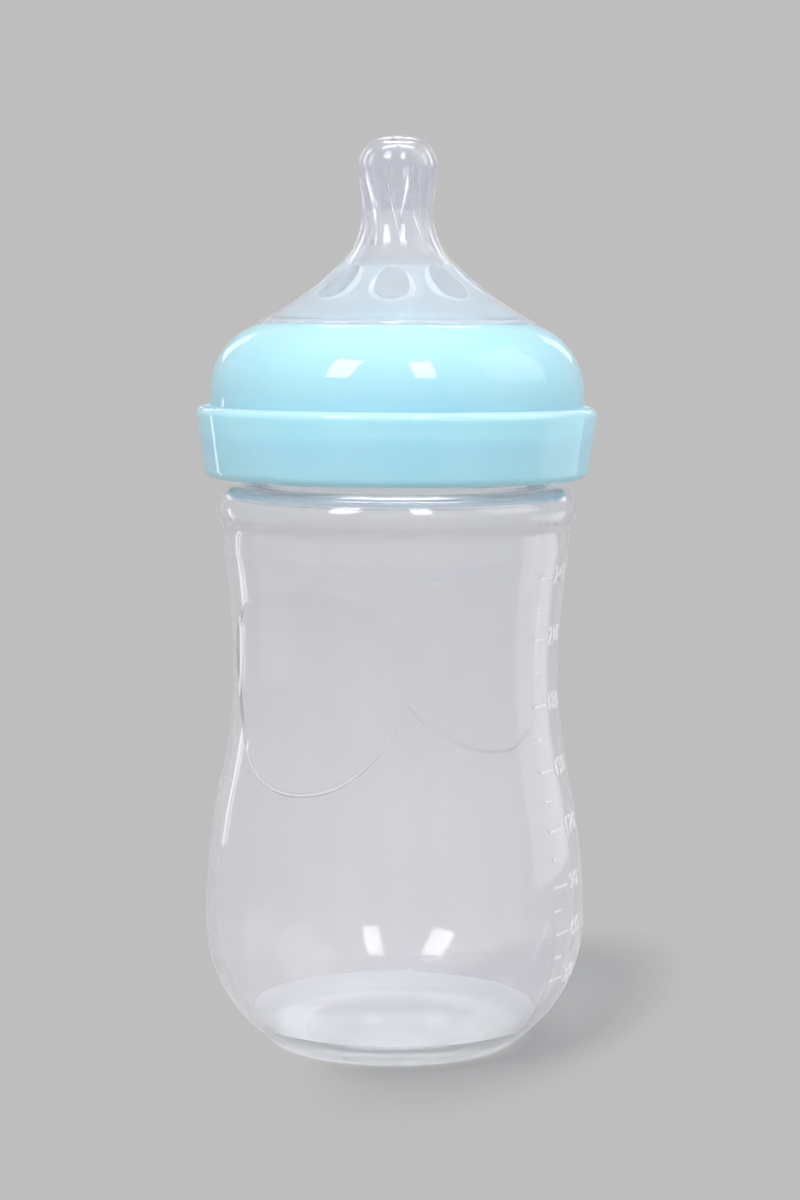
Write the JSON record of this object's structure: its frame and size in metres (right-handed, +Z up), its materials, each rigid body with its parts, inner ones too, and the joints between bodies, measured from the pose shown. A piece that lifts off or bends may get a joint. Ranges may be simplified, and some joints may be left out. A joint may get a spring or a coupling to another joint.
{
  "type": "baby bottle",
  "caption": "Wide-neck feeding bottle: a clear waisted bottle with finger grips, a domed screw ring, and a soft silicone teat clamped under the ring.",
  "frame": {"origin": "middle of the foot, on the plane that the bottle stands on", "axes": "+Z up through the teat's tip; the finger grips face -Y and +Y; the raised scale is on the +X side"},
  "size_m": [0.0726, 0.0726, 0.1648],
  "materials": {
    "clear_bottle": "clear, slightly hazy bluish plastic, smooth and glossy",
    "blue_ring": "milky light-blue plastic, semi-gloss",
    "silicone": "clear silicone, glossy at the tip and satin on the skirt"
  },
  "bodies": {
    "bottle": {"bottle": "clear_bottle"},
    "teat": {"teat": "silicone"},
    "screw_ring": {"screw_ring": "blue_ring"}
  },
  "joints": [
    {"name": "teat_lift", "type": "slide", "parent": "bottle", "child": "teat", "axis": [0, 0, 1], "range_m": [0, 0.01]},
    {"name": "ring_turn", "type": "hinge", "parent": "teat", "child": "screw_ring", "pos_m": [0, 0, 0.1222], "axis": [0, 0, 1], "range_deg": [0, 450]}
  ],
  "couplings": [
    {"joint": "teat_lift", "follows": "ring_turn", "m_per_rad": 0.0012732}
  ]
}
